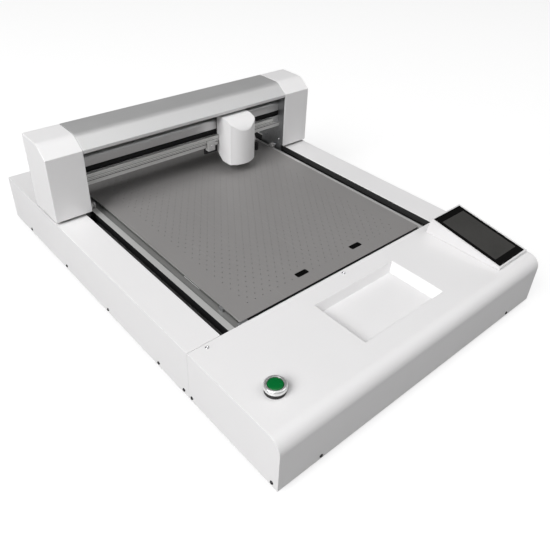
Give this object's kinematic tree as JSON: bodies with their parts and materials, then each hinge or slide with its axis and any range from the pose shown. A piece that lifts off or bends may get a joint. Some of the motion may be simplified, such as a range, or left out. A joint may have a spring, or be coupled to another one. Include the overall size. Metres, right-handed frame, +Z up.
{
  "type": "flatbed vinyl cutter",
  "caption": "Flatbed cutting plotter: a gantry with a swivelling knife head travels over a grey vacuum bed in a white body with a tray, start button and tilted touch screen.",
  "frame": {"origin": "centre of the footprint, on the plane that the rubber feet stand on", "axes": "+X to the right-hand side (touch screen side), +Y to the rear, +Z up"},
  "size_m": [0.6, 0.82, 0.2475],
  "materials": {
    "powder_coat": "fine white powder coat",
    "white_plastic": "satin moulded plastic",
    "aluminium": "extruded, satin anodised",
    "anodised_grey": "grey anodised, drilled sheet",
    "black_anodised": "black anodised",
    "steel": "ground steel",
    "zinc_sheet": "zinc-plated sheet",
    "chrome": "polished chrome",
    "rubber": "matt black rubber",
    "black_plastic": "matt black plastic",
    "green_plastic": "glossy green plastic",
    "black_glass": "glossy black cover glass",
    "circuit_board": "green solder mask"
  },
  "bodies": {
    "base": {"front_cover": "powder_coat", "left_side_cover": "powder_coat", "right_side_cover": "powder_coat", "rear_cover": "powder_coat", "display_housing": "white_plastic", "left_y_rail": "aluminium", "bed_plate": "anodised_grey", "right_y_rail": "black_anodised", "data_port": "steel", "base_pan": "zinc_sheet", "vacuum_plenum": "zinc_sheet", "left_idler_bracket": "zinc_sheet", "right_idler_bracket": "zinc_sheet", "power_supply": "zinc_sheet", "button_bezel": "chrome", "front_left_foot": "rubber", "front_right_foot": "rubber", "rear_left_foot": "rubber", "rear_right_foot": "rubber", "left_y_belt": "rubber", "right_y_belt": "rubber", "button_gasket": "rubber", "sensor_bar": "black_plastic", "vacuum_blower": "black_plastic", "left_y_motor": "black_plastic", "right_y_motor": "black_plastic", "power_inlet": "black_plastic", "touch_screen": "black_glass", "control_board": "circuit_board"},
    "gantry": {"gantry_beam": "aluminium", "beam_cover": "powder_coat", "left_gantry_cap": "white_plastic", "right_gantry_cap": "white_plastic", "left_end_plate": "zinc_sheet", "right_end_plate": "zinc_sheet", "left_rail_block": "black_plastic", "right_rail_block": "black_plastic", "x_rail": "steel", "x_belt": "rubber", "x_motor": "black_plastic"},
    "carriage": {"carriage_plate": "aluminium", "carriage_cover": "white_plastic", "glide_pad": "white_plastic", "lift_motor": "black_plastic", "camera_module": "black_plastic"},
    "tool": {"tool_slide": "black_anodised", "blade_holder": "aluminium"},
    "blade": {"blade": "steel"},
    "start_button": {"start_button": "green_plastic"},
    "power_switch": {"power_switch": "black_plastic"},
    "blower_rotor": {"blower_rotor": "black_plastic"},
    "left_drive_pulley": {"left_drive_pulley": "aluminium"},
    "right_drive_pulley": {"right_drive_pulley": "aluminium"},
    "left_idler_pulley": {"left_idler_pulley": "aluminium"},
    "right_idler_pulley": {"right_idler_pulley": "aluminium"},
    "left_guide_roller": {"left_guide_roller": "steel"},
    "right_guide_roller": {"right_guide_roller": "steel"},
    "x_motor_pulley": {"x_motor_pulley": "aluminium"},
    "x_idler_pulley": {"x_idler_pulley": "aluminium"},
    "carriage_wheel": {"carriage_wheel": "black_plastic"}
  },
  "joints": [
    {"name": "gantry_travel", "type": "slide", "parent": "base", "child": "gantry", "axis": [0, -1, 0], "range_m": [-0.08, 0.38]},
    {"name": "carriage_travel", "type": "slide", "parent": "gantry", "child": "carriage", "axis": [1, 0, 0], "range_m": [-0.26, 0.06]},
    {"name": "tool_lift", "type": "slide", "parent": "carriage", "child": "tool", "axis": [0, 0, 1], "range_m": [-0.0027, 0.006]},
    {"name": "blade_swivel", "type": "hinge", "parent": "tool", "child": "blade", "pos_m": [0.096, 0.175, 0.12], "axis": [0, 0, 1], "continuous": true},
    {"name": "start_press", "type": "slide", "parent": "base", "child": "start_button", "axis": [0, 0, -1], "range_m": [0, 0.003], "stiffness_N_per_m": 500, "springref_m": -0.002},
    {"name": "power_rock", "type": "hinge", "parent": "base", "child": "power_switch", "pos_m": [0.165, 0.403, 0.057], "axis": [1, 0, 0], "range_deg": [0, 14]},
    {"name": "blower_spin", "type": "hinge", "parent": "base", "child": "blower_rotor", "pos_m": [0.007, 0.068, 0.03], "axis": [0, 0, 1], "continuous": true},
    {"name": "left_drive_spin", "type": "hinge", "parent": "base", "child": "left_drive_pulley", "pos_m": [-0.259, 0.38, 0.067], "axis": [1, 0, 0], "range_deg": [-352.6, 1674.8]},
    {"name": "left_idler_spin", "type": "hinge", "parent": "base", "child": "left_idler_pulley", "pos_m": [-0.259, -0.195, 0.067], "axis": [1, 0, 0], "range_deg": [-352.6, 1674.8]},
    {"name": "left_roller_spin", "type": "hinge", "parent": "gantry", "child": "left_guide_roller", "pos_m": [-0.2195, 0.21, 0.1023], "axis": [1, 0, 0], "range_deg": [-727.6, 3456]},
    {"name": "right_drive_spin", "type": "hinge", "parent": "base", "child": "right_drive_pulley", "pos_m": [0.259, 0.38, 0.067], "axis": [1, 0, 0], "range_deg": [-352.6, 1674.8]},
    {"name": "right_idler_spin", "type": "hinge", "parent": "base", "child": "right_idler_pulley", "pos_m": [0.259, -0.195, 0.067], "axis": [1, 0, 0], "range_deg": [-352.6, 1674.8]},
    {"name": "right_roller_spin", "type": "hinge", "parent": "gantry", "child": "right_guide_roller", "pos_m": [0.223, 0.21, 0.1023], "axis": [1, 0, 0], "range_deg": [-727.6, 3456]},
    {"name": "x_motor_spin", "type": "hinge", "parent": "gantry", "child": "x_motor_pulley", "pos_m": [-0.269, 0.2142, 0.1792], "axis": [0, 0, 1], "range_deg": [-1862.2, 429.8]},
    {"name": "x_idler_spin", "type": "hinge", "parent": "gantry", "child": "x_idler_pulley", "pos_m": [0.269, 0.2142, 0.1792], "axis": [0, 0, 1], "range_deg": [-1862.2, 429.8]},
    {"name": "wheel_spin", "type": "hinge", "parent": "carriage", "child": "carriage_wheel", "pos_m": [0.152, 0.199, 0.1417], "axis": [0, 1, 0], "range_deg": [-318.4, 1379.4]}
  ],
  "couplings": [
    {"joint": "left_drive_spin", "follows": "gantry_travel", "rad_per_m": 76.923},
    {"joint": "left_idler_spin", "follows": "gantry_travel", "rad_per_m": 76.923},
    {"joint": "left_roller_spin", "follows": "gantry_travel", "rad_per_m": 158.73},
    {"joint": "right_drive_spin", "follows": "gantry_travel", "rad_per_m": 76.923},
    {"joint": "right_idler_spin", "follows": "gantry_travel", "rad_per_m": 76.923},
    {"joint": "right_roller_spin", "follows": "gantry_travel", "rad_per_m": 158.73},
    {"joint": "x_motor_spin", "follows": "carriage_travel", "rad_per_m": 125},
    {"joint": "x_idler_spin", "follows": "carriage_travel", "rad_per_m": 125},
    {"joint": "wheel_spin", "follows": "carriage_travel", "rad_per_m": -92.593}
  ]
}
